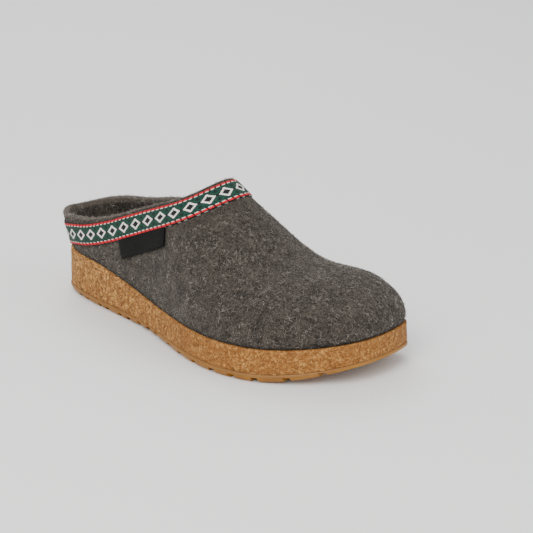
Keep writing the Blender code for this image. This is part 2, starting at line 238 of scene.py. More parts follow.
def store(made, name, values):
    """Keep one number a point on the mesh, for the material to read."""
    layer = made.data.attributes.new(name, "FLOAT", "POINT")
    layer.data.foreach_set("value", np.asarray(values, np.float32))


# %% [markdown]
# ## The last
# A shoe's form comes from a last. Here the last is a function: a quarter ball of points
# (heel at -1, toe at +1) is stretched onto the sole's outline below and the crown line above.
# Every piece of the upper is cut from this one function, so felt, ribbon and label agree.

# %% Sizes of the last, in millimetres and shares
LENGTH = 272.5
BALL_WIDTH = 109.0
TOE_SPRING = 13.0
SPRING_FROM = 0.78
WAIST_TUCK = 1.6
HEEL_BEVEL = 3.0
OUTSOLE = 5.4
CORK_HEEL = 31.0
CORK_FORE = 21.6
CORK_SLOPE = (0.14, 0.46)
GAP = 0.3
FELT = 5.0
FELT_INSET = 0.5
CROWN = 120.0
HEEL_LEAN = 14.7
LEAN_HEIGHT = 30.0
LEAN_TO = 0.24
TOE_ROUND = 0.25
TOE_FULL = 2.15
HEEL_ROUND = 0.12
OUTLINE = (
    # outer at, outer, inner at, inner: shares of length and ball width
    (0.006, 0.192, 0.022, 0.208),
    (0.12, 0.287, 0.13, 0.325),
    (0.27, 0.318, 0.28, 0.306),
    (0.414, 0.368, 0.42, 0.331),
    (0.558, 0.497, 0.573, 0.40),
    (0.703, 0.563, 0.729, 0.46),
    (0.836, 0.474, 0.899, 0.465),
    (0.967, 0.208, 0.971, 0.448),
)
HEEL_TIP = (-0.006, 0.0)
TOE_TIP = (1.007, 0.035)
CROWN_LINE = ((0.0, 0.939), (0.3, 1.018), (0.46, 0.939), (0.6, 0.734), (0.74, 0.518), (0.88, 0.507))
ROUNDNESS = ((0.0, 2.05), (0.5, 1.7), (1.0, 2.5))
CROWN_SHIFT = ((0.0, 0.0), (0.12, 1.3), (0.3, 1.9), (0.85, 12.0))
COLLAR = (
    # share of length, degrees up on the outer side, degrees more on the inner side
    (0.0037, 90.0, 0.0),
    (0.0112, 39.5, -3.5),
    (0.0422, 16.5, 4.7),
    (0.1577, 16.6, 1.2),
    (0.2594, 27.0, 1.7),
    (0.3767, 40.1, -9.8),
    (0.5006, 55.2, 4.6),
    (0.536, 90.0, 0.0),
)

# %% Curves and the outline


def ease(t):
    t = np.clip(t, 0.0, 1.0)
    return t * t * (3 - 2 * t)


def unit(v):
    return v / np.maximum(np.linalg.norm(v, axis=1), 1e-12)[:, None]


def curve(table, u):
    """Smooth curve through the rows (share, value) of a short table."""
    xs, ys = np.array(table, float).T
    m = np.gradient(ys, xs)
    u = np.clip(u, xs[0], xs[-1])
    j = np.clip(np.searchsorted(xs, u, side="right") - 1, 0, len(xs) - 2)
    h = xs[j + 1] - xs[j]
    t = (u - xs[j]) / h
    low = (2 * t**3 - 3 * t**2 + 1) * ys[j] + (t**3 - 2 * t**2 + t) * h * m[j]
    high = (3 * t**2 - 2 * t**3) * ys[j + 1] + (t**3 - t**2) * h * m[j + 1]
    return low + high


def spline_ring(points, count):
    """Closed cubic B-spline over corner points."""
    p = np.asarray(points, float)
    t = np.arange(count) / count * len(p)
    i = np.floor(t).astype(int)
    u = (t - i)[:, None]
    weights = ((1 - u) ** 3 / 6, (3 * u**3 - 6 * u**2 + 4) / 6,
               (-3 * u**3 + 3 * u**2 + 3 * u + 1) / 6, u**3 / 6)
    return sum(w * p[(i + k - 1) % len(p)] for k, w in enumerate(weights))


def outline_curve():
    outer = [(a * LENGTH, -y * BALL_WIDTH) for a, y, _, _ in OUTLINE]
    inner = [(a * LENGTH, y * BALL_WIDTH) for _, _, a, y in OUTLINE]
    heel = (HEEL_TIP[0] * LENGTH, HEEL_TIP[1] * BALL_WIDTH)
    toe = (TOE_TIP[0] * LENGTH, TOE_TIP[1] * BALL_WIDTH)
    ring = spline_ring([heel] + outer + [toe] + inner[::-1], 1440)
    return np.roll(ring, -ring[:, 0].argmin(), axis=0)


PLAN = outline_curve()
TOE_AT = int(PLAN[:, 0].argmax())
HEEL_X = PLAN[0, 0]
TOE_X = PLAN[TOE_AT, 0]
LONG = TOE_X - HEEL_X
OUTER = PLAN[: TOE_AT + 1]
INNER = np.vstack([PLAN[TOE_AT:], PLAN[:1]])[::-1]
print("outline, mm:", round(LONG, 1), "x", round(float(np.ptp(PLAN[:, 1])), 1))

# %% Heights along the shoe


def share(x):
    return (x - HEEL_X) / LONG


def sides(x):
    """Outer and inner y of the outline at x."""
    yo = np.interp(x, np.maximum.accumulate(OUTER[:, 0]), OUTER[:, 1])
    yi = np.interp(x, np.maximum.accumulate(INNER[:, 0]), INNER[:, 1])
    return yo, yi


def spring(x):
    return TOE_SPRING * np.clip((share(x) - SPRING_FROM) / (1 - SPRING_FROM), 0, None) ** 2


def tread_floor(x):
    """Underside of the tread above the floor."""
    u = share(x)
    tuck = WAIST_TUCK * ease((u - 0.30) / 0.10) * ease((0.58 - u) / 0.10)
    bevel = HEEL_BEVEL * np.clip((0.10 - u) / 0.10, 0, 1) ** 2
    return spring(x) + tuck + bevel


def sole_seam(x):
    """Line between rubber and cork."""
    return OUTSOLE + 0.75 * spring(x)


def cork_rim(x):
    """Flat rim of the cork, where the felt stands."""
    a, b = CORK_SLOPE
    return CORK_HEEL + (CORK_FORE - CORK_HEEL) * ease((share(x) - a) / (b - a)) + 0.5 * spring(x)


def crown(x):
    """Height of the upper's middle line above the rim."""
    u = share(x)
    toe = np.clip((1 - u) / TOE_ROUND, 0, 1)
    heel = np.clip(u / HEEL_ROUND, 0, 1)
    ends = (1 - (1 - toe) ** TOE_FULL) ** (1 / TOE_FULL) * np.sqrt(1 - (1 - heel) ** 2)
    return (curve(CROWN_LINE, u) * CROWN - cork_rim(x)) * ends


def last(q):
    """Points of the quarter ball to the outside of the felt."""
    X, Y, Z = q.T
    x = HEEL_X + LONG * (1 + X) / 2
    u = share(x)
    r = np.sqrt(Y * Y + Z * Z) + 1e-12
    power = 2 / curve(ROUNDNESS, u)
    across = np.sign(Y) * np.abs(Y / r) ** power
    up = np.abs(Z / r) ** power
    yo, yi = sides(x)
    half = (yi - yo) / 2 - FELT_INSET
    shift = curve(CROWN_SHIFT, u) * ease((1 - u) / 0.14)
    y = (yo + yi) / 2 + half * across + shift * up**2
    h = crown(x) * up
    lean = HEEL_LEAN * ease(h / LEAN_HEIGHT) * np.clip(1 - u / LEAN_TO, 0, 1)
    inset = FELT_INSET * X * np.sqrt(np.clip(1 - up, 0, 1))
    return np.stack([x - lean - inset, y, cork_rim(x) + GAP + h], axis=1)


# %% [markdown]
# ## Rings over the last
# The upper is woven of rings: the lowest follows the feather line, the highest the collar.
# The ribbon has an even width and lies further below the rim round the heel, so its rings are
# marched down the surface, square to the collar, and do not come from simple scaling.

# %% Rings


def slerp(a, b, t):
    angle = np.maximum(np.arccos(np.clip((a * b).sum(1), -1, 1))[:, None], 1e-9)
    return (np.sin((1 - t) * angle) * a + np.sin(t * angle) * b) / np.sin(angle)


def tangents_at(q):
    """Two steps on the ball, their images on the last and the outward normal."""
    n = unit(q)
    a = unit(np.cross(n, np.array([1.0, 0.0, 0.0])) + np.array([0.0, 1e-9, 0.0]))
    b = np.cross(n, a)
    h = 1e-3
    pa = (last(unit(n + h * a)) - last(unit(n - h * a))) / (2 * h)
    pb = (last(unit(n + h * b)) - last(unit(n - h * b))) / (2 * h)
    return n, a, b, pa, pb, unit(np.cross(pa, pb))


def along(half, shares):
    """Points of a half curve on the ball at shares of its length on the last."""
    p = last(half)
    d = np.r_[0, np.cumsum(np.linalg.norm(np.diff(p, axis=0), axis=1))]
    points = np.stack([np.interp(shares * d[-1], d, half[:, k]) for k in range(3)], axis=1)
    return unit(points), d[-1]


def feather_half(side):
    t = np.linspace(0, np.pi, 721)
    return np.stack([-np.cos(t), side * np.sin(t), np.zeros_like(t)], axis=1)


def collar_halves():
    """Collar line from the back of the heel to the throat, outer and inner half."""
    def row(u, degrees, side):
        X = 2 * u - 1
        r = np.sqrt(1 - X * X)
        a = np.radians(degrees)
        return (X, side * r * np.cos(a), r * np.sin(a))

    outer = [row(u, d, -1) for u, d, _ in COLLAR]
    inner = [row(u, d + more, 1) for u, d, more in COLLAR[1:-1]]
    ring = unit(spline_ring(outer + inner[::-1], 60 * (2 * len(COLLAR) - 2)))
    throat = 60 * (len(COLLAR) - 1)
    return ring[: throat + 1], np.vstack([ring[throat:], ring[:1]])[::-1]


def spread(around):
    """Shares of a half, closer together at heel and toe."""
    t = np.arange(around + 1) / around
    return t - 0.4 * np.sin(2 * np.pi * t) / (2 * np.pi)


def whole_ring(halves):
    """One ring of an outer half out and an inner half back."""
    outer, inner = halves
    return np.vstack([outer, inner[-2:0:-1]])


def rings(around):
    """Matching rings of the feather line and the collar: outer half out, inner half back."""
    u = spread(around)
    low_rows = []
    high_rows = []
    for side, half in zip((-1, 1), collar_halves()):
        low, low_length = along(feather_half(side), u)
        _, high_length = along(half, u)
        even = 0.6
        k = (low_length / high_length - even) / (1 - even)
        high, _ = along(half, (1 - even) * (1 - (1 - u) ** k) + even * u)
        low[:, 2] = 0.0
        low_rows.append(unit(low))
        high_rows.append(high)
    return whole_ring(low_rows), whole_ring(high_rows)


def rim_drop(ring):
    """How far below the rim the ribbon lies: more round the heel."""
    share_along = (ring[:, 0] + 1) / 2
    k = ease(np.clip((share_along - RIM_FALL[0]) / (RIM_FALL[1] - RIM_FALL[0]), 0, 1))
    return RIBBON_BELOW_HEEL_RIM + (RIBBON_BELOW_RIM - RIBBON_BELOW_HEEL_RIM) * k


def march(ring, distance, steps):
    """Rings at even distances down the last, square to the starting ring."""
    q = ring.copy()
    out = [q.copy()]
    p = last(q)
    tangent = unit(np.roll(p, -1, axis=0) - np.roll(p, 1, axis=0))
    down = None
    for _ in range(steps):
        n, a, b, pa, pb, normal = tangents_at(q)
        if down is None:
            down = unit(np.cross(normal, tangent))
            down *= np.where(down[:, 2] > 0, -1, 1)[:, None]
        down = unit(down - (down * normal).sum(1)[:, None] * normal)
        g11, g12, g22 = (pa * pa).sum(1), (pa * pb).sum(1), (pb * pb).sum(1)
        r1 = (down * pa).sum(1) * distance / steps
        r2 = (down * pb).sum(1) * distance / steps
        det = g11 * g22 - g12**2
        q = unit(n + ((r1 * g22 - r2 * g12) / det)[:, None] * a
                 + ((g11 * r2 - g12 * r1) / det)[:, None] * b)
        out.append(q.copy())
    return out


def normals(q):
    """Outward normals, level on the feather line."""
    n = tangents_at(q)[5]
    p = last(q)
    tangent = unit(np.roll(p, -1, axis=0) - np.roll(p, 1, axis=0))
    level = unit(np.cross(tangent, np.array([0.0, 0.0, 1.0])))
    n = np.where((np.abs(q[:, 2]) < 1e-6)[:, None], level, n)
    middle = np.array([[LENGTH / 2, 0.0, 40.0]])
    return n * np.where(((p - middle) * n).sum(1) < 0, -1, 1)[:, None]


def plan_ring(inset, around):
    """Outline of the sole moved in by inset, matched side to side."""
    rows = []
    for half in (OUTER, INNER):
        d = np.r_[0, np.cumsum(np.linalg.norm(np.diff(half, axis=0), axis=1))]
        t = spread(around) * d[-1]
        rows.append(np.stack([np.interp(t, d, half[:, k]) for k in (0, 1)], axis=1))
    ring = np.vstack([rows[0], rows[1][-2:0:-1]])
    tangent = unit(np.roll(ring, -1, axis=0) - np.roll(ring, 1, axis=0))
    return ring + np.stack([-tangent[:, 1], tangent[:, 0]], axis=1) * inset


CAD_AROUND = 44
CAD_CORK_PROUD = 0.3
cork_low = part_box("midsole")[0]
SHIFT = np.array([cork_low.x, cork_low.y, 0.0]) / MM
SHIFT[:2] -= plan_ring(-CAD_CORK_PROUD, CAD_AROUND).min(axis=0)
print("the last stands at, mm:", SHIFT.round(2))

# %% Faces between rings


def loft(rows, closed):
    """Quads between rows of equal rings, back to the first row when closed."""
    n = len(rows[0])
    faces = []
    last_row = len(rows) if closed else len(rows) - 1
    for r in range(last_row):
        a, b = r * n, ((r + 1) % len(rows)) * n
        for i in range(n):
            j = (i + 1) % n
            faces.append((a + i, a + j, b + j, b + i))
    return np.vstack(rows), faces


def plug(points, faces, start, n, height, across):
    """Close a ring of n points with strips across, each height from its place."""
    half = n // 2
    grid = {}
    points = list(map(tuple, points))
    for i in range(half + 1):
        a = start + i
        b = start + (n - i) % n
        grid[i, 0] = a
        grid[i, across] = b
        if a == b:
            for k in range(across + 1):
                grid[i, k] = a
            continue
        pa, pb = np.array(points[a]), np.array(points[b])
        for k in range(1, across):
            s = k / across
            x, y = ((1 - s) * pa + s * pb)[:2]
            base = (1 - s) * pa[2] + s * pb[2]
            points.append((x, y, float(height(x, 2 * s - 1, base))))
            grid[i, k] = len(points) - 1
    for i in range(half):
        for k in range(across):
            corners = (grid[i, k], grid[i, k + 1], grid[i + 1, k + 1], grid[i + 1, k])
            face = tuple(dict.fromkeys(corners))
            if len(face) > 2:
                faces.append(face)
    return np.array(points), faces


def outward(made):
    """Faces turned to point out of the closed shape."""
    import bmesh

    work = bmesh.new()
    work.from_mesh(made.data)
    bmesh.ops.recalc_face_normals(work, faces=work.faces)
    work.to_mesh(made.data)
    work.free()
    return made


# %% [markdown]
# ## Felt
# Boiled wool felt is a mat of curly fibres. From a step away it reads as a dark warm grey
# with lighter, softly curling lines in it, and a soft dull sheen at grazing angles. The
# lines come from the edges of warped cells, and the fibres that stand off are real geometry
# made later, because only geometry softens an outline.

# %% Felt material


def felt_material(name, dark, mid, light, rim_lift):
    r = Recipe(name, 0.95, sheen=0.06)
    r.shader.inputs["Sheen Roughness"].default_value = 0.5
    r.shader.inputs["Specular IOR Level"].default_value = 0.1
    place = r.place()
    drift = r.node("ShaderNodeTexNoise", 1, None, Vector=place, Scale=260.0, Detail=2.0)
    bent = r.node("ShaderNodeMix", 1, {"data_type": "VECTOR"}, i0=0.006, i4=place, i5=drift)
    cells = r.node("ShaderNodeTexVoronoi", 0, {"feature": "DISTANCE_TO_EDGE"},
                   Vector=bent, Scale=420.0)
    curls = r.ramp(cells, (0.0, 1.0), (0.05, 0.45), (0.16, 0.0))
    mat = r.noise(520.0, 8.0, 0.75, place, 1.2)
    cloud = r.noise(38.0, 3.0, 0.6, place)
    tuft = r.noise(150.0, 4.0, 0.65, place, 0.8)
    base = r.ramp(mat, (0.34, dark), (0.52, mid), (0.70, light))
    patchy = r.blend(r.ramp(cloud, (0.35, 0.0), (0.7, 0.45)), base, mid)
    tufted = r.blend(r.ramp(tuft, (0.36, 0.75), (0.56, 0.0)), patchy, dark)
    lined = r.blend(r.math("MULTIPLY", curls, 0.40), tufted, light)
    rimmed = r.blend(r.math("MULTIPLY", r.attribute("rim"), rim_lift), lined, light)
    # Painted shade: the felt turns to its dark tone in the seam with the cork and on the inside.
    with_painted_shade = r.blend(r.attribute("painted_shade"), rimmed, dark)
    height = r.math("ADD", r.math("MULTIPLY", mat, 0.8), r.math("MULTIPLY", curls, 0.5))
    first = r.bump(cloud, 0.25, 0.0012)
    return r.done(with_painted_shade, r.bump(height, 0.75, 0.0009, first))


FELT_DARK = (0.0095, 0.0080, 0.0068)
FELT_MID = (0.040, 0.033, 0.027)
FELT_LIGHT = (0.150, 0.128, 0.106)
grey_felt = felt_material("grey_felt", FELT_DARK, FELT_MID, FELT_LIGHT, 0.55)

# %% [markdown]
# ## The upper
# One sheet of felt, shaped wet over the last. Its outside, its rounded cut edge and its
# inside are one closed skin. Two numbers are kept on each point: how near the cut edge it
# is, where the felt is paler, and a painted shade, which darkens the felt deep in the seam
# with the cork and a little over the whole inside.

# %% Upper
AROUND = 170
UP_ROWS = 46
RIBBON_WIDTH = 15.0
RIBBON_BELOW_RIM = 1.6
RIBBON_BELOW_HEEL_RIM = 4.6
RIM_FALL = (0.03, 0.26)
RIM_ROWS = 4
BAND_ROWS = 14
LIP_ANGLES = (20, 45, 70, 90, 110, 135, 160)
FELT_EDGE = 1.2
TUCK = 0.9
TUCK_HEIGHT = 2.2


def wobble(p, size, seed):
    """Soft irregular swell, the same on each run."""
    rng = np.random.default_rng(seed)
    total = np.zeros(len(p))
    for _ in range(14):
        way = rng.normal(size=3)
        way /= np.linalg.norm(way)
        total += np.sin(p @ way * (2 * np.pi / (size * rng.uniform(0.7, 1.4))) + rng.uniform(0, 6.28))
    return total / 14**0.5


def make_upper():
    feather, collar = rings(AROUND)
    rim_rings = march(collar, rim_drop(collar), RIM_ROWS)
    band = rim_rings[:-1] + march(rim_rings[-1], RIBBON_WIDTH, BAND_ROWS)
    climb = [ease(0.5 * k / UP_ROWS) * 2 for k in range(UP_ROWS)]
    ladder = [slerp(feather, band[-1], t) for t in climb] + band[::-1]
    outer = []
    outs = []
    for k, q in enumerate(ladder):
        p = last(q)
        n = normals(q)
        free = ease(min(k / 6.0, 1.0)) * ease(np.clip((UP_ROWS - k) / 8.0, 0, 1))
        above = p[:, 2] - cork_rim(p[:, 0]) - GAP
        tuck = TUCK * np.exp(-((above / TUCK_HEIGHT) ** 2))
        swell = 0.28 * wobble(p, 34.0, 5) + 0.10 * wobble(p, 11.0, 6)
        outer.append(p + n * (free * swell - tuck)[:, None])
        outs.append(n)
    inner = [last(q) - n * FELT for q, n in zip(ladder, outs)]
    inner[0][:, 2] = cork_rim(inner[0][:, 0]) + GAP
    for k in range(1, UP_ROWS):
        floor = cork_rim(inner[k][:, 0]) + GAP + 0.12 * k
        inner[k][:, 2] = np.maximum(inner[k][:, 2], floor)
    up = unit(outer[-1] - outer[-3])
    middle = (outer[-1] + inner[-1]) / 2
    lip = []
    for degrees in LIP_ANGLES:
        a = np.radians(degrees)
        lip.append(middle + outs[-1] * (FELT / 2 * np.cos(a)) + up * (FELT_EDGE * np.sin(a)))
    lining = inner[::-1][::2]
    if len(inner) % 2 == 0:
        lining.append(inner[0])
    points, faces = loft(outer + lip + lining, True)
    made = outward(piece("felt_upper", points + SHIFT, faces, grey_felt))
    n = len(feather)
    rim_share = np.zeros(len(points))
    painted_shade = np.zeros(len(points))
    above = points[:, 2] - cork_rim(points[:, 0]) - GAP
    first_lip = len(outer) * n
    rim_share[first_lip: first_lip + len(lip) * n] = 1.0
    rim_share[first_lip - n: first_lip] = 0.6
    rim_share[first_lip + len(lip) * n: first_lip + (len(lip) + 2) * n] = 0.7
    # Painted shade: strong low in the seam with the cork, a quarter as strong over the inside lining.
    painted_shade[:first_lip] = np.exp(-((above[:first_lip] / 2.0) ** 2)) * 0.75
    painted_shade[first_lip + (len(lip) + 2) * n:] = 0.25
    store(made, "rim", rim_share)
    store(made, "painted_shade", painted_shade)
    return made


felt_upper = make_upper()
settle(felt_upper, "grey_felt", "upper")

# %% [markdown]
# ## Cork footbed
# Ground cork is pressed with a binder, so its cut side shows grains of many sizes and tans
# packed close, with darker specks of bark between them and little pits where a grain fell
# out. Cells at two scales give the grains, and each cell takes its own tan.

# %% Cork material


def cork_material():
    r = Recipe("cork", 0.82)
    r.shader.inputs["Specular IOR Level"].default_value = 0.25
    place = r.place()
    drift = r.node("ShaderNodeTexNoise", 1, None, Vector=place, Scale=420.0, Detail=2.0)
    bent = r.node("ShaderNodeMix", 1, {"data_type": "VECTOR"}, i0=0.0022, i4=place, i5=drift)
    big = r.node("ShaderNodeTexVoronoi", 1, None, Vector=bent, Scale=560.0)
    small = r.node("ShaderNodeTexVoronoi", 1, None, Vector=bent, Scale=1300.0)
    edge = r.node("ShaderNodeTexVoronoi", 0, {"feature": "DISTANCE_TO_EDGE"}, Vector=bent, Scale=620.0)
    tone = r.node("ShaderNodeSeparateColor", 0, None, Color=big)
    fleck = r.node("ShaderNodeSeparateColor", 1, None, Color=small)
    grains = r.ramp(tone, (0.0, (0.080, 0.027, 0.008)), (0.3, (0.20, 0.075, 0.016)),
                    (0.65, (0.36, 0.150, 0.030)), (1.0, (0.76, 0.42, 0.125)))
    fine = r.ramp(fleck, (0.0, (0.085, 0.030, 0.010)), (0.5, (0.27, 0.105, 0.022)),
                  (1.0, (0.86, 0.52, 0.190)))
    mixed = r.blend(0.42, grains, fine)
    specks = r.ramp(fleck, (0.0, 1.0), (0.13, 1.0), (0.15, 0.0))
    barked = r.blend(r.math("MULTIPLY", specks, 0.8), mixed, (0.055, 0.020, 0.008))
    joints = r.ramp(edge, (0.0, 0.55), (0.08, 0.0))
    joints_and_painted_shade = r.blend(joints, barked, (0.16, 0.062, 0.018))
    broad = r.ramp(r.noise(26.0, 3.0, 0.6, place), (0.3, 0.0), (0.75, 0.35))
    parts = r.node("ShaderNodeSeparateXYZ", 0, None, Vector=place)
    # Painted shade: the cork is darkened towards the toe, where less light falls.
    painted_toe_shade = r.ramp(r.math("ADD", r.math("MULTIPLY", parts, 3.6), 0.5), (0.15, 0.0), (0.75, 0.42))
    joints_and_painted_shade = r.blend(painted_toe_shade, joints_and_painted_shade, (0.20, 0.070, 0.010), "MIX")
    toned = r.blend(r.math("MULTIPLY", broad, 0.5), joints_and_painted_shade, (0.33, 0.135, 0.030))
    height = r.math("SUBTRACT", r.ramp(edge, (0.0, 0.0), (0.12, 1.0)), r.math("MULTIPLY", specks, 0.8))
    return r.done(toned, r.bump(height, 0.55, 0.0004))


cork = cork_material()

# %% Cork footbed
CORK_RIM = 6.2
BED_WALL = 2.8
BED_DROP = 2.5
BED_DISH = 3.2
ARCH_RISE = 3.0
BED_ACROSS = 14
SEAM_GAP = 0.03


def bed(x, v, base):
    """Footbed below its wall: dished, with the arch raised on the inner side."""
    u = share(x)
    arch = ARCH_RISE * np.exp(-(((u - 0.40) / 0.13) ** 2)) * ease((v + 0.1) / 0.9)
    return base - BED_DISH * (1 - v * v) + arch * (1 - v * v)


def ring_at(inset, height, around=AROUND):
    ring = plan_ring(inset, around)
    return np.column_stack([ring, height(ring[:, 0])])


def make_cork():
    def side(t, proud):
        return ring_at(-proud, lambda x: (sole_seam(x) + SEAM_GAP) * (1 - t) + cork_rim(x) * t)

    rows = [ring_at(15, lambda x: sole_seam(x) + GAP), ring_at(2.0, lambda x: sole_seam(x) + GAP)]
    rows += [side(0.0, 0.1), side(0.03, 0.35), side(0.12, 0.4)]
    rows += [side(t, 0.35 - 0.35 * t) for t in np.linspace(0.2, 0.9, 9)]
    rows += [side(0.95, -0.1), side(0.985, -0.35)]
    rows += [ring_at(0.9, cork_rim), ring_at(CORK_RIM, cork_rim)]
    rows += [ring_at(CORK_RIM + BED_WALL * t, lambda x, t=t: cork_rim(x) - BED_DROP * t)
             for t in (0.3, 0.7, 1.0)]
    points, faces = loft(rows, False)
    n = 2 * AROUND
    points, faces = plug(points, faces, 0, n, lambda x, v, z: sole_seam(x) + GAP, 4)
    points, faces = plug(points, faces, n * (len(rows) - 1), n, bed, BED_ACROSS)
    grain = wobble(points, 3.1, 11) * 0.05 + wobble(points, 9.0, 12) * 0.08
    middle = np.array([LENGTH / 2, 0.0, 20.0])
    away = unit((points - middle) * np.array([0.4, 1.0, 0.0]))
    side_rows = np.zeros(len(points))
    side_rows[2 * n: 15 * n] = 1.0
    points = points + away * (grain * side_rows)[:, None]
    return outward(piece("cork_footbed", points + SHIFT, faces, cork))


settle(make_cork(), "cork", "midsole")

# %% [markdown]
# ## Rubber tread
# The tread is amber crepe rubber: light sinks in a little and comes out warmer, so it wants
# some subsurface light and not a painted tan. Dust and handling dull its upper edge. The
# grooves are cut with a row of zigzag bars, as the mould's ribs would leave them.

# %% Rubber material


def rubber_material():
    r = Recipe("amber_rubber", 0.48)
    r.shader.inputs["Subsurface Weight"].default_value = 0.35
    r.shader.inputs["Specular IOR Level"].default_value = 0.25
    r.shader.inputs["Subsurface Radius"].default_value = (1.0, 0.45, 0.12)
    r.shader.inputs["Subsurface Scale"].default_value = 0.003
    place = r.place()
    cloud = r.noise(60.0, 4.0, 0.65, place)
    fine = r.noise(900.0, 4.0, 0.7, place)
    amber = r.ramp(cloud, (0.3, (0.23, 0.088, 0.006)), (0.7, (0.34, 0.145, 0.014)))
    dusty = r.blend(r.math("MULTIPLY", r.attribute("dust"), 0.6), amber, (0.19, 0.10, 0.036))
    speckled = r.blend(r.ramp(fine, (0.66, 0.0), (0.85, 0.2)), dusty, (0.50, 0.31, 0.12))
    return r.done(speckled, r.bump(fine, 0.25, 0.0003))


amber_rubber = rubber_material()

# %% Rubber tread
TREAD_AROUND = 240
OUTSOLE_PROUD = 0.9
TREAD_INSET = 1.4
TREAD_DEPTH = 3.2
GROOVE = 5.4
GROOVE_WAVE = 2.2
GROOVE_STEPS = 10
GROOVES = (
    0.055, 0.10, 0.145, 0.19, 0.235, 0.28, 0.325, 0.37, 0.415, 0.46,
    0.52, 0.58, 0.64, 0.70, 0.76, 0.82, 0.88, 0.94,
)


def groove_bars():
    """One closed bar a groove, zigzag across the tread, following the toe spring."""
    points = []
    faces = []
    for k, at in enumerate(GROOVES):
        xc = HEEL_X + at * LONG
        first = len(points)
        top = float(tread_floor(np.array(xc))) + TREAD_DEPTH
        for i in range(GROOVE_STEPS + 1):
            y = -80.0 + 160.0 * i / GROOVE_STEPS
            x = xc + GROOVE_WAVE * (-1) ** (i + k)
            for dx, z in ((-GROOVE / 2, -5.0), (GROOVE / 2, -5.0),
                          (GROOVE / 2 - 0.4, top), (0.4 - GROOVE / 2, top)):
                points.append((x + dx, y, z))
        for i in range(GROOVE_STEPS):
            a = first + 4 * i
            for c in range(4):
                d = (c + 1) % 4
                faces.append((a + c, a + d, a + 4 + d, a + 4 + c))
        faces.append((first, first + 1, first + 2, first + 3))
        end = first + 4 * GROOVE_STEPS
        faces.append((end, end + 1, end + 2, end + 3))
    return np.array(points), faces


def applied(made):
    """The object's mesh with its modifiers worked in."""
    graph = bpy.context.evaluated_depsgraph_get()
    mesh = bpy.data.meshes.new_from_object(made.evaluated_get(graph), depsgraph=graph)
    made.modifiers.clear()
    old = made.data
    made.data = mesh
    bpy.data.meshes.remove(old)
    return made


def make_tread():
    def row(inset, height):
        return ring_at(inset, height, TREAD_AROUND)

    rows = [row(TREAD_INSET + 9, tread_floor), row(TREAD_INSET + 0.5, tread_floor),
            row(TREAD_INSET, lambda x: tread_floor(x) + 0.4)]
    for t in (0.15, 0.3, 0.42):
        proud = -TREAD_INSET + (TREAD_INSET + 0.6 * OUTSOLE_PROUD) * t / 0.42
        rows.append(row(-proud, lambda x, t=t: tread_floor(x) + t * (sole_seam(x) - tread_floor(x))))
    rows += [row(-0.85 * OUTSOLE_PROUD, lambda x: sole_seam(x) - 2.2),
             row(-OUTSOLE_PROUD, lambda x: sole_seam(x) - 1.4),
             row(-0.8 * OUTSOLE_PROUD, lambda x: sole_seam(x) - 0.5),
             row(-0.3, sole_seam), row(9, sole_seam)]
    points, faces = loft(rows, False)
    n = 2 * TREAD_AROUND
    points, faces = plug(points, faces, 0, n, lambda x, v, z: tread_floor(x), 6)
    points, faces = plug(points, faces, n * (len(rows) - 1), n, lambda x, v, z: sole_seam(x), 4)
    made = outward(piece("rubber_tread", points + SHIFT, faces, amber_rubber, False))
    bars, bar_faces = groove_bars()
    cutter = outward(piece("groove_bars", bars + SHIFT, bar_faces, amber_rubber, False))
    cut = made.modifiers.new("grooves", "BOOLEAN")
    cut.operation = "DIFFERENCE"
    cut.solver = "EXACT"
    cut.object = cutter
    applied(made)
    bpy.data.objects.remove(cutter)
    made.data.polygons.foreach_set("use_smooth", [True] * len(made.data.polygons))
    made.data.set_sharp_from_angle(angle=np.radians(38))
    p = np.array([v.co for v in made.data.vertices]) / MM - SHIFT
    high = (p[:, 2] - tread_floor(p[:, 0])) / (sole_seam(p[:, 0]) - tread_floor(p[:, 0]))
    store(made, "dust", ease((high - 0.35) / 0.4))
    return made


settle(make_tread(), "amber_rubber", "outsole")

# %% [markdown]
# ## Insole
# A thin sheet of paler felt lines the footbed. It is seen only from above, through the
# collar, but the shoe would look hollow without it.

# %% Insole
INSOLE = 2.6
INSOLE_CLEAR = 0.8
insole_felt = felt_material("insole_felt", (0.05, 0.042, 0.035), (0.11, 0.095, 0.080),
                            (0.20, 0.175, 0.15), 0.0)


def make_insole():
    clear = CORK_RIM + INSOLE_CLEAR
    rows = [
        ring_at(clear + BED_WALL - 0.3, lambda x: cork_rim(x) - BED_DROP + GAP),
        ring_at(clear + 0.3, lambda x: cork_rim(x) - 0.6),
        ring_at(clear + 0.5, lambda x: cork_rim(x) - 0.1),
        ring_at(clear + 1.2, lambda x: cork_rim(x) + 0.15),
        ring_at(clear + BED_WALL, lambda x: cork_rim(x) - BED_DROP + GAP + INSOLE),
    ]
    points, faces = loft(rows, False)
    n = 2 * AROUND
    points, faces = plug(points, faces, 0, n, bed, BED_ACROSS)
    points, faces = plug(points, faces, n * (len(rows) - 1), n, bed, BED_ACROSS)
    made = outward(piece("insole", points + SHIFT, faces, insole_felt))
    store(made, "rim", np.zeros(len(points)))
    store(made, "painted_shade", np.zeros(len(points)))
    return made


settle(make_insole(), "insole_felt", "insole")

# %% [markdown]
# ## Woven ribbon
# A jacquard ribbon is drawn thread by thread: each crossing of warp and weft shows one
# colour. So the pattern is worked out on a grid of crossings and kept as face colours, one
# face a crossing, and its small steps at slanting edges come out as they do on the loom.
# The ground is green with darker lozenges, white diamonds with black hearts run down the
# middle, and red and white checks with a black selvedge close both sides.

# %% Ribbon pattern
REPEATS = 31
FIRST_DIAMOND = 0.80
THREADS_A_REPEAT = 30
THREADS_ACROSS = 34
WHITE = (0.95, 0.92, 0.85)
BLACK = (0.004, 0.004, 0.005)
GREEN = (0.0025, 0.056, 0.033)
DARK_GREEN = (0.0015, 0.017, 0.012)
RED = (0.70, 0.004, 0.014)
DIAMOND_HALF_LONG = 0.41
DIAMOND_HALF_TALL = 3.8
HEART = 0.60
CHECKS = 3
SELVEDGE = 0.3
RED_ROW_TO = (1.6, 1.7)
WHITE_ROW = (0.65, 0.6)


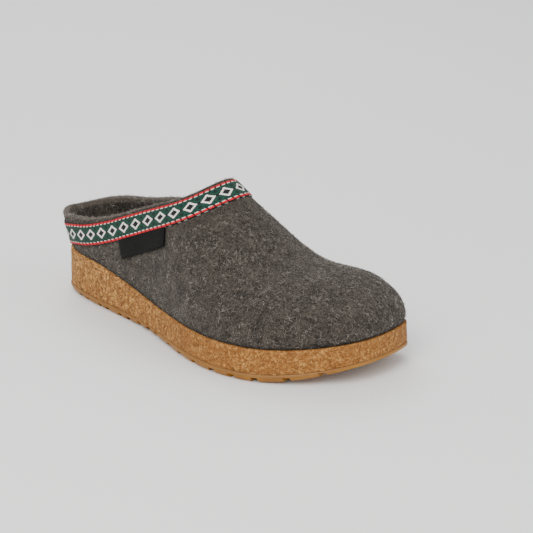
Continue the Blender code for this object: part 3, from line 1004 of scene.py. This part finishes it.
def ribbon_colours(along_share, v):
    """Colour of each crossing: along_share in repeats, v in mm from the lower edge."""
    p = along_share - np.round(along_share)
    w = v - RIBBON_WIDTH / 2
    colour = np.tile(np.array(GREEN), (len(p), 1))
    for at_p, at_w, half_p, half_w in ((0.5, 3.1, 0.17, 1.5), (0.5, -3.1, 0.17, 1.5),
                                       (0.25, 4.1, 0.07, 0.7), (0.25, -4.1, 0.07, 0.7)):
        near = np.minimum(np.abs(np.abs(p) - at_p), 1) / half_p + np.abs(w - at_w) / half_w
        colour[near < 1] = DARK_GREEN
    reach = np.abs(p) / DIAMOND_HALF_LONG + np.abs(w) / DIAMOND_HALF_TALL
    link = (np.abs(w) < 0.75) & (np.abs(p) > 0.36)
    colour[(reach < 1.2) | link] = BLACK
    colour[reach < 1.0] = WHITE
    colour[reach < HEART] = BLACK
    low_side = v < RIBBON_WIDTH / 2
    from_edge = np.minimum(v, RIBBON_WIDTH - v)
    step = (along_share * CHECKS + np.where(low_side, 0.5, 0.0)) % 1.0
    red_to = np.where(low_side, *RED_ROW_TO)
    white_to = red_to + np.where(low_side, *WHITE_ROW)
    colour[from_edge < white_to + 0.35] = DARK_GREEN
    white_row = (from_edge < white_to) & (step < 0.55)
    colour[white_row] = WHITE
    red_row = from_edge < red_to
    colour[red_row] = np.where((step < 0.78)[red_row, None], RED, BLACK)
    colour[from_edge <= SELVEDGE] = BLACK
    return colour


# %% Ribbon material


def ribbon_material():
    r = Recipe("ribbon_weave", 0.7, sheen=0.03)
    r.shader.inputs["Specular IOR Level"].default_value = 0.2
    colour = r.attribute("threads", "Color")
    uv = r.node("ShaderNodeUVMap", 0, {"uv_map": "weave"})
    parts = r.node("ShaderNodeSeparateXYZ", 0, None, Vector=uv)
    across = parts.node.outputs[1]
    rib = r.math("ABSOLUTE", r.math("SINE", r.math("MULTIPLY", parts, 3.14159)))
    cord = r.math("ABSOLUTE", r.math("SINE", r.math("MULTIPLY", across, 3.14159)))
    height = r.math("MULTIPLY", rib, cord)
    # Painted shade: the hollows between the threads are darkened.
    painted_gap_shade = r.blend(r.math("MULTIPLY", r.math("SUBTRACT", 1.0, height), 0.30), colour, (0.01, 0.01, 0.01))
    worn = r.blend(r.ramp(r.noise(700.0, 5.0, 0.7), (0.55, 0.0), (0.9, 0.15)), painted_gap_shade, (0.20, 0.19, 0.17))
    return r.done(worn, r.bump(height, 0.6, 0.00018))


ribbon_weave = ribbon_material()

# %% Ribbon
RIBBON = 0.9


def collar_even(count):
    """Points of the collar, outer side first, that stand at even steps along the ribbon's middle."""
    outer, inner = collar_halves()
    ring = np.vstack([outer, inner[-2:0:-1]])
    steps = march(ring, rim_drop(ring) + RIBBON_WIDTH / 2, 4)[-1]
    middle = last(np.vstack([steps, steps[:1]]))
    d = np.r_[0, np.cumsum(np.linalg.norm(np.diff(middle, axis=0), axis=1))]
    t = np.arange(count) / count * d[-1]
    whole = np.vstack([ring, ring[:1]])
    return unit(np.stack([np.interp(t, d, whole[:, k]) for k in range(3)], axis=1))


def make_ribbon():
    count = REPEATS * THREADS_A_REPEAT
    rim = collar_even(count)
    start = march(rim, rim_drop(rim), 3)[-1]
    band = march(start, RIBBON_WIDTH, THREADS_ACROSS)[::-1]
    rows = []
    base = [(last(q), normals(q)) for q in band]
    for k, (p, n) in enumerate(base):
        edge = min(k, THREADS_ACROSS - k)
        lift = GAP + RIBBON * (1 - 0.45 * np.exp(-edge / 1.2))
        rows.append(p + n * lift)
    backs = [base[-1][0] + base[-1][1] * 0.05, base[0][0] + base[0][1] * 0.05]
    points, faces = loft(rows + backs, True)
    made = piece("collar_ribbon_weave", points + SHIFT, faces, ribbon_weave)
    made = outward(made)
    mesh = made.data
    mesh.uv_layers.new(name="weave")
    mesh.color_attributes.new("threads", "FLOAT_COLOR", "CORNER")
    corner_point = np.zeros(len(mesh.loops), int)
    mesh.loops.foreach_get("vertex_index", corner_point)
    starts = np.zeros(len(mesh.polygons), int)
    mesh.polygons.foreach_get("loop_start", starts)
    cell = corner_point.reshape(-1, 4)
    column = cell % count
    row = cell // count
    wrap = (column.max(axis=1) - column.min(axis=1)) > count / 2
    column = np.where(wrap[:, None] & (column == 0), count, column)
    row = np.minimum(row, THREADS_ACROSS)
    u_mid = column.mean(axis=1)
    v_mid = row.mean(axis=1)
    tones = ribbon_colours(u_mid / THREADS_A_REPEAT - FIRST_DIAMOND, v_mid * RIBBON_WIDTH / THREADS_ACROSS)
    rng = np.random.default_rng(3)
    tones = tones * rng.uniform(0.86, 1.12, (len(tones), 1))
    flat = np.ones((len(tones), 4, 4))
    flat[:, :, :3] = np.clip(tones, 0, 1)[:, None, :]
    mesh.color_attributes["threads"].data.foreach_set("color", flat.reshape(-1))
    threads = np.stack([column, row], axis=-1).astype(float)
    mesh.uv_layers["weave"].data.foreach_set("uv", threads.reshape(-1))
    length = np.linalg.norm(np.diff(np.vstack([base[0][0], base[0][0][:1]]), axis=0), axis=1).sum()
    print("ribbon's lower edge, mm:", round(float(length), 1))
    return made


settle(make_ribbon(), "ribbon_weave", "collar_ribbon")

# %% [markdown]
# ## Label
# A small black woven tag folded over and sewn in under the ribbon's lower edge. It is left
# bare. Its lower corners stand off the felt a little, so it throws a thin shadow.

# %% Label
LABEL_LONG = 51.0
LABEL_TALL = 12.5
LABEL = 1.0
LABEL_FROM = 93.0
LABEL_STAND = 0.6
LABEL_COLUMNS = 60
LABEL_ROWS = 22


def label_material():
    r = Recipe("label_weave", 0.6, sheen=0.02)
    r.shader.inputs["Specular IOR Level"].default_value = 0.08
    uv = r.node("ShaderNodeUVMap", 0, {"uv_map": "weave"})
    parts = r.node("ShaderNodeSeparateXYZ", 0, None, Vector=uv)
    rows = r.math("ABSOLUTE", r.math("SINE", r.math("MULTIPLY", parts.node.outputs[1], 132.0)))
    ribs = r.math("ABSOLUTE", r.math("SINE", r.math("MULTIPLY", parts, 420.0)))
    height = r.math("MULTIPLY", rows, ribs)
    # Painted shade: the hollows of the weave are darker and the raised threads lighter.
    colour = r.ramp(height, (0.0, (0.0005, 0.0005, 0.0005)), (1.0, (0.0030, 0.0028, 0.0026)))
    dust = r.ramp(r.noise(500.0, 5.0, 0.7), (0.6, 0.0), (0.85, 0.1))
    return r.done(r.blend(dust, colour, (0.05, 0.047, 0.044)), r.bump(height, 0.7, 0.0002))


label_weave = label_material()


def make_label():
    fine = 176
    _, collar = rings(fine)
    start = march(collar, rim_drop(collar), 1)[-1]
    edge = march(start, RIBBON_WIDTH, 3)[-1]
    p = last(edge)
    d = np.r_[0, np.cumsum(np.linalg.norm(np.diff(p[: fine + 1], axis=0), axis=1))]
    wanted = LABEL_FROM + LABEL_LONG * np.linspace(0, 1, LABEL_COLUMNS + 1)
    top = unit(np.stack([np.interp(wanted, d, edge[: fine + 1, k]) for k in range(3)], axis=1))
    levels = march(np.vstack([top, top[::-1]]), LABEL_TALL, LABEL_ROWS)
    front = []
    back = []
    across = np.linspace(0, 1, LABEL_COLUMNS + 1)
    for k, q in enumerate(levels):
        part = q[: LABEL_COLUMNS + 1]
        n = tangents_at(part)[5]
        n = n * np.where(n[:, 1] > 0, -1, 1)[:, None]
        low = k / LABEL_ROWS
        stand = LABEL_STAND * low * (0.4 + 1.2 * across) + 0.18 * np.sin(across * 9.0) * low
        round_end = 0.45 * (np.exp(-across * 26) + np.exp(-(1 - across) * 26) + np.exp(-(1 - low) * 16))
        base = last(part) + n * (GAP + np.maximum(stand, 0))[:, None]
        back.append(base)
        front.append(base + n * (LABEL - np.minimum(round_end, 0.8))[:, None])
    w = LABEL_COLUMNS + 1
    size = w * len(front)
    points = np.vstack(back + front)
    faces = []
    for r in range(len(front) - 1):
        for c in range(LABEL_COLUMNS):
            a = r * w + c
            faces.append((a, a + w, a + w + 1, a + 1))
            faces.append((size + a, size + a + 1, size + a + w + 1, size + a + w))
    loop = list(range(w)) + [r * w + LABEL_COLUMNS for r in range(1, len(front))]
    loop += [(len(front) - 1) * w + c for c in range(LABEL_COLUMNS - 1, -1, -1)]
    loop += [r * w for r in range(len(front) - 2, 0, -1)]
    for a, b in zip(loop, loop[1:] + loop[:1]):
        faces.append((a, b, size + b, size + a))
    made = outward(piece("label_tag", points + SHIFT, faces, label_weave))
    grid_u = np.tile(np.tile(across, len(front)), 2)
    grid_v = np.tile(np.repeat(np.linspace(0, 1, len(front)), w), 2)
    uv = made.data.uv_layers.new(name="weave")
    index = np.zeros(len(made.data.loops), int)
    made.data.loops.foreach_get("vertex_index", index)
    uv.data.foreach_set("uv", np.stack([grid_u[index], grid_v[index]], axis=-1).reshape(-1))
    return made


label_tag = make_label()
settle(label_tag, "label_weave", "label")

# %% [markdown]
# ## Fibres that stand off
# Felt is never smooth: loose wool fibres lie across it in curls a few millimetres long, and a
# short fuzz stands up and softens its outline. Both repeat thousands of times with small
# differences, so a node group grows them: points are scattered over the felt, one bent fibre
# is set on each and turned at random, and a noise bends them all a little differently.

# %% Where fibres grow


BARE_ABOVE_CORK = 1.6
LABEL_CLEAR = 2.4


def grow_where(felt, label_tag):
    """Keep 1 where fibres may grow: not under the ribbon, the label or at the cork."""
    n = 2 * AROUND
    mesh = felt.data
    points = np.zeros(len(mesh.vertices) * 3)
    mesh.vertices.foreach_get("co", points)
    points = points.reshape(-1, 3) / MM
    row = np.arange(len(points)) // n
    above_cork = points[:, 2] - cork_rim(points[:, 0] - SHIFT[0])
    low = np.clip((above_cork - BARE_ABOVE_CORK) / BARE_ABOVE_CORK, 0, 1)
    rows_out = UP_ROWS + BAND_ROWS + RIM_ROWS + 1
    grows = np.where(row < UP_ROWS - 1, low, 0.0)
    grows[(row > UP_ROWS + BAND_ROWS + 1) & (row < rows_out + len(LIP_ANGLES) + 3)] = 1.0
    tag = np.zeros(len(label_tag.data.vertices) * 3)
    label_tag.data.vertices.foreach_get("co", tag)
    tag = tag.reshape(-1, 3)[::3] / MM
    near = np.where((grows > 0) & (points[:, 1] < 0) & (points[:, 0] < 0))[0]
    for block in np.array_split(near, 12):
        gap = np.linalg.norm(points[block, None] - tag[None], axis=2).min(axis=1)
        grows[block[gap < LABEL_CLEAR]] = 0.0
    store(felt, "hairs", grows)
    print("share of points that grow fibres:", round(float((grows > 0.5).mean()), 2))


grow_where(felt_upper, label_tag)

# %% Node group for fibres


ROOT_DEPTH = 0.0002
FULL_TURN = 6.283
SHORTEST, LONGEST = 0.55, 1.25
BEND_GRAIN = 430.0


def fibre_group():
    """Node group: scatter bent fibres over a mesh."""
    group = bpy.data.node_groups.new("wool_fibres", "GeometryNodeTree")
    face = group.interface
    face.new_socket("Geometry", in_out="OUTPUT", socket_type="NodeSocketGeometry")
    face.new_socket("Geometry", in_out="INPUT", socket_type="NodeSocketGeometry")
    for name, kind in (("Density", "Float"), ("Seed", "Int"), ("Long", "Float"), ("Rise", "Float"),
                       ("Sway", "Float"), ("Thick", "Float"), ("Tip", "Float"), ("Tilt", "Float"),
                       ("Bend", "Float"), ("Parts", "Int"), ("Material", "Material")):
        face.new_socket(name, in_out="INPUT", socket_type=f"NodeSocket{kind}")
    given = group.nodes.new("NodeGroupInput").outputs
    result = group.nodes.new("NodeGroupOutput")

    def node(kind, out=0, settings=None, **inputs):
        return add_node(group, kind, out, settings, **inputs)

    grows = node("GeometryNodeInputNamedAttribute", 0, {"data_type": "FLOAT"}, Name="hairs")
    density = node("ShaderNodeMath", 0, {"operation": "MULTIPLY"}, i0=grows, i1=given["Density"])
    scatter = group.nodes.new("GeometryNodeDistributePointsOnFaces")
    group.links.new(given["Geometry"], scatter.inputs["Mesh"])
    group.links.new(density, scatter.inputs["Density"])
    group.links.new(given["Seed"], scatter.inputs["Seed"])
    middle = node("ShaderNodeCombineXYZ",
                  X=node("ShaderNodeMath", 0, {"operation": "MULTIPLY"}, i0=given["Long"], i1=0.5),
                  Y=given["Sway"], Z=given["Rise"])
    end = node("ShaderNodeCombineXYZ", X=given["Long"], Y=0.0, Z=given["Tip"])
    bow = node("GeometryNodeCurveQuadraticBezier", Resolution=given["Parts"], Start=(0.0, 0.0, -ROOT_DEPTH),
               Middle=middle, End=end)
    ring = node("GeometryNodeCurvePrimitiveCircle", Resolution=3, Radius=given["Thick"])
    fibre = node("GeometryNodeCurveToMesh", Curve=bow, Profile_Curve=ring, Fill_Caps=True)
    stand = node("FunctionNodeAlignRotationToVector", 0, {"axis": "Z"}, Vector=scatter.outputs["Normal"])
    spin = node("FunctionNodeRandomValue", 0, {"data_type": "FLOAT_VECTOR"}, Seed=given["Seed"])
    low = node("ShaderNodeCombineXYZ", X=0.0, Y=0.0, Z=0.0)
    high = node("ShaderNodeCombineXYZ", X=0.0, Y=given["Tilt"], Z=FULL_TURN)
    group.links.new(low, spin.node.inputs["Min"])
    group.links.new(high, spin.node.inputs["Max"])
    turn = node("FunctionNodeEulerToRotation", Euler=spin)
    rotation = node("FunctionNodeRotateRotation", 0, {"rotation_space": "LOCAL"},
                    Rotation=stand, Rotate_By=turn)
    size = node("FunctionNodeRandomValue", 1, {"data_type": "FLOAT"}, i2=SHORTEST, i3=LONGEST,
                Seed=given["Seed"])
    sown = node("GeometryNodeInstanceOnPoints", Points=scatter.outputs["Points"], Instance=fibre,
                Rotation=rotation, Scale=size)
    real = node("GeometryNodeRealizeInstances", Geometry=sown)
    where = node("GeometryNodeInputPosition")
    drift = node("ShaderNodeTexNoise", 1, None, Vector=where, Scale=BEND_GRAIN, Detail=1.0)
    centred = node("ShaderNodeVectorMath", 0, {"operation": "SUBTRACT"}, i0=drift, i1=(0.5, 0.5, 0.5))
    push = node("ShaderNodeVectorMath", 0, {"operation": "SCALE"}, i0=centred, Scale=given["Bend"])
    bent = node("GeometryNodeSetPosition", Geometry=real, Offset=push)
    dressed = node("GeometryNodeSetMaterial", Geometry=bent, Material=given["Material"])
    group.links.new(dressed, result.inputs["Geometry"])
    return group


wool_fibres = fibre_group()
print("node group inputs:", [s.name for s in wool_fibres.interface.items_tree if s.in_out == "INPUT"])

# %% [markdown]
# Three growths share that group: pale curls and darker curls that lie on the felt, and a
# short upright fuzz. Each becomes a plain mesh of its own.

# %% Grow the fibres


def fibre_material(name, colour, far):
    r = Recipe(name, 0.9, sheen=0.05)
    r.shader.inputs["Specular IOR Level"].default_value = 0.15
    patch = r.noise(120.0, 3.0, 0.6)
    return r.done(r.ramp(patch, (0.35, far), (0.65, colour)))


PALE_FIBRE = fibre_material("pale_fibre", (0.44, 0.40, 0.35), (0.17, 0.147, 0.125))
DARK_FIBRE = fibre_material("dark_fibre", (0.040, 0.034, 0.029), (0.012, 0.010, 0.009))
GROWTHS = (
    # name, a square metre, seed, long, rise, sway, thick, tip, tilt, bend, parts, look; sizes in mm
    ("pale_curls", 200000.0, 1, 3.1, 0.62, 1.4, 0.050, 0.05, 0.25, 2.2, 4, PALE_FIBRE),
    ("pale_curls_too", 200000.0, 5, 2.4, 0.75, 1.1, 0.044, 0.25, 0.30, 2.0, 4, PALE_FIBRE),
    ("dark_curls", 200000.0, 2, 2.8, 0.60, 1.2, 0.060, 0.0, 0.2, 1.9, 3, DARK_FIBRE),
    ("fuzz", 230000.0, 3, 0.5, 0.7, 0.25, 0.030, 1.15, 0.7, 0.7, 2, PALE_FIBRE),
)


def grow(name, density, seed, long, rise, sway, thick, tip, tilt, bend, parts, look):
    bed_mesh = felt_upper.data.copy()
    made = bpy.data.objects.new(name, bed_mesh)
    scene.collection.objects.link(made)
    growth = made.modifiers.new("fibres", "NODES")
    growth.node_group = wool_fibres
    values = {"Density": density, "Seed": seed, "Long": long * MM, "Rise": rise * MM, "Sway": sway * MM,
              "Thick": thick * MM, "Tip": tip * MM, "Tilt": tilt, "Bend": bend * MM, "Parts": parts,
              "Material": look}
    for socket in wool_fibres.interface.items_tree:
        if socket.in_out == "INPUT" and socket.name in values:
            growth[socket.identifier] = values[socket.name]
    applied(made)
    triangles = sum(len(p.vertices) - 2 for p in made.data.polygons)
    print(name, "triangles:", triangles)
    return settle(made, "grey_felt")


for row in GROWTHS:
    grow(*row)

# %% [markdown]
# ## Floor
# A plain pale sheet, as in the photograph.

# %% Floor
floor_look = Recipe("floor", 0.6)
floor_look.done((0.86, 0.86, 0.86, 1.0))
FLOOR_HALF = 6000.0
floor = piece("floor", [(-FLOOR_HALF, -FLOOR_HALF, 0), (FLOOR_HALF, -FLOOR_HALF, 0),
                        (FLOOR_HALF, FLOOR_HALF, 0), (-FLOOR_HALF, FLOOR_HALF, 0)],
              [(0, 1, 2, 3)], floor_look.material, False)
